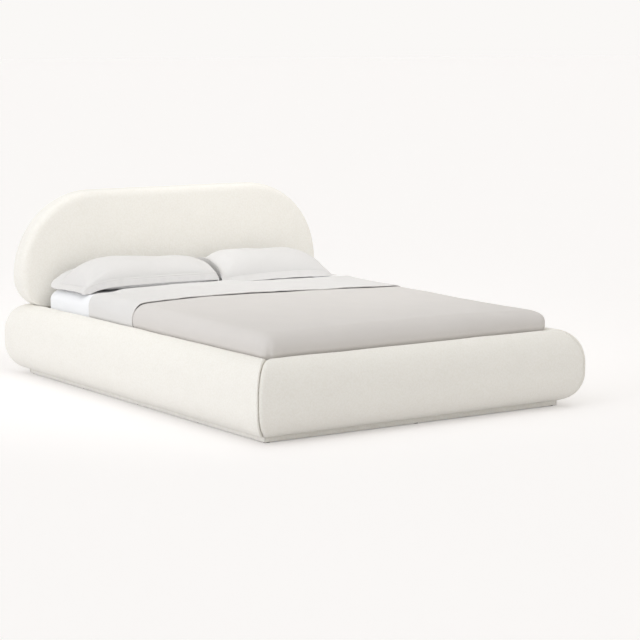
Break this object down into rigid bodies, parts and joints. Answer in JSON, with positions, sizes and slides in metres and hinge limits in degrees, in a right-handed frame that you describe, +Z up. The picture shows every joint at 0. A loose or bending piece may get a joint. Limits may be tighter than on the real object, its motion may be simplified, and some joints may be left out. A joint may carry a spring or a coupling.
{
  "type": "upholstered storage bed",
  "caption": "Padded low bed with soft arched headboard, recessed plinth, made-up mattress and a lift-up platform over a storage box.",
  "frame": {"origin": "centre of the footprint on the floor", "axes": "+Z up, +Y towards the headboard, +X to the right seen from the foot"},
  "size_m": [1.804, 2.42, 0.928],
  "materials": {
    "boucle": "cream boucle upholstery",
    "foam": "upholstery foam",
    "board": "bare plywood",
    "timber": "planed pine",
    "steel": "black powder coat",
    "zinc": "zinc plated",
    "rod": "polished",
    "rubber": "matt black rubber",
    "glide": "dark nylon",
    "beech": "laminated beech",
    "webbing": "grey webbing",
    "ticking": "knitted mattress ticking",
    "white_cotton": "white cotton",
    "greige_linen": "washed greige linen",
    "pale_linen": "pale washed linen"
  },
  "bodies": {
    "base": {"corner_brackets": "steel", "floor_glides": "glide", "floor_keel": "timber", "frame_bolts": "zinc", "head_bulkhead": "board", "headboard_cover": "boucle", "headboard_foam": "foam", "headboard_panel": "board", "headboard_post_left": "timber", "headboard_post_right": "timber", "headboard_shelf": "board", "hinge_plate_left": "steel", "hinge_plate_right": "steel", "ledge_bumpers": "rubber", "ledge_foot": "timber", "ledge_left": "timber", "ledge_right": "timber", "plinth_foot": "boucle", "plinth_head": "boucle", "plinth_left": "boucle", "plinth_right": "boucle", "rail_foot_board": "board", "rail_foot_cover": "boucle", "rail_foot_foam": "foam", "rail_head_board": "board", "rail_head_cover": "boucle", "rail_head_foam": "foam", "rail_left_board": "board", "rail_left_cover": "boucle", "rail_left_foam": "foam", "rail_right_board": "board", "rail_right_cover": "boucle", "rail_right_foam": "foam", "storage_floor_left": "board", "storage_floor_right": "board"},
    "platform": {"lift_bar_left": "steel", "lift_bar_right": "steel", "platform_left_tube": "steel", "platform_right_tube": "steel", "platform_head_tube": "steel", "platform_foot_tube": "steel", "platform_centre_tube": "steel", "platform_slats": "beech", "slat_caps": "rubber", "lift_strap": "webbing", "mattress": "ticking", "fitted_sheet": "white_cotton", "duvet": "greige_linen", "turned_sheet": "pale_linen", "pillow_left": "pale_linen", "pillow_right": "pale_linen"},
    "crank_left": {"crank_left": "steel"},
    "follower_left": {"follower_left": "steel"},
    "crank_right": {"crank_right": "steel"},
    "follower_right": {"follower_right": "steel"},
    "strut_cylinder_left": {"gas_strut_left_cylinder": "steel"},
    "strut_rod_left": {"gas_strut_left_rod": "rod"},
    "strut_cylinder_right": {"gas_strut_right_cylinder": "steel"},
    "strut_rod_right": {"gas_strut_right_rod": "rod"}
  },
  "joints": [
    {"name": "platform_lift", "type": "hinge", "parent": "crank_left", "child": "platform", "pos_m": [0, 0.413, 0.1965], "axis": [-1, 0, 0], "range_deg": [0, 98.26]},
    {"name": "crank_left_swing", "type": "hinge", "parent": "base", "child": "crank_left", "pos_m": [0, 0.264, 0.215], "axis": [1, 0, 0], "range_deg": [0, 65.36]},
    {"name": "crank_right_swing", "type": "hinge", "parent": "base", "child": "crank_right", "pos_m": [0, 0.264, 0.215], "axis": [1, 0, 0], "range_deg": [0, 65.36]},
    {"name": "follower_left_swing", "type": "hinge", "parent": "base", "child": "follower_left", "pos_m": [0, -0.132, 0.061], "axis": [1, 0, 0], "range_deg": [0, 33.12]},
    {"name": "strut_left_swing", "type": "hinge", "parent": "base", "child": "strut_cylinder_left", "pos_m": [0, 0.299, 0.052], "axis": [1, 0, 0], "range_deg": [0, 50.13]},
    {"name": "strut_left_stroke", "type": "slide", "parent": "strut_cylinder_left", "child": "strut_rod_left", "axis": [0, 0.8504, 0.5261], "range_m": [0, 0.06705]},
    {"name": "follower_right_swing", "type": "hinge", "parent": "base", "child": "follower_right", "pos_m": [0, -0.132, 0.061], "axis": [1, 0, 0], "range_deg": [0, 33.12]},
    {"name": "strut_right_swing", "type": "hinge", "parent": "base", "child": "strut_cylinder_right", "pos_m": [0, 0.299, 0.052], "axis": [1, 0, 0], "range_deg": [0, 50.13]},
    {"name": "strut_right_stroke", "type": "slide", "parent": "strut_cylinder_right", "child": "strut_rod_right", "axis": [0, 0.8504, 0.5261], "range_m": [0, 0.06705]}
  ],
  "couplings": [
    {"joint": "crank_left_swing", "follows": "platform_lift", "ratio": 0.66416},
    {"joint": "crank_right_swing", "follows": "platform_lift", "ratio": 0.66416},
    {"joint": "follower_left_swing", "follows": "platform_lift", "ratio": 0.33605},
    {"joint": "strut_left_swing", "follows": "platform_lift", "ratio": 0.50916},
    {"joint": "strut_left_stroke", "follows": "platform_lift", "m_per_rad": 0.03898},
    {"joint": "follower_right_swing", "follows": "platform_lift", "ratio": 0.33605},
    {"joint": "strut_right_swing", "follows": "platform_lift", "ratio": 0.50916},
    {"joint": "strut_right_stroke", "follows": "platform_lift", "m_per_rad": 0.03898}
  ]
}
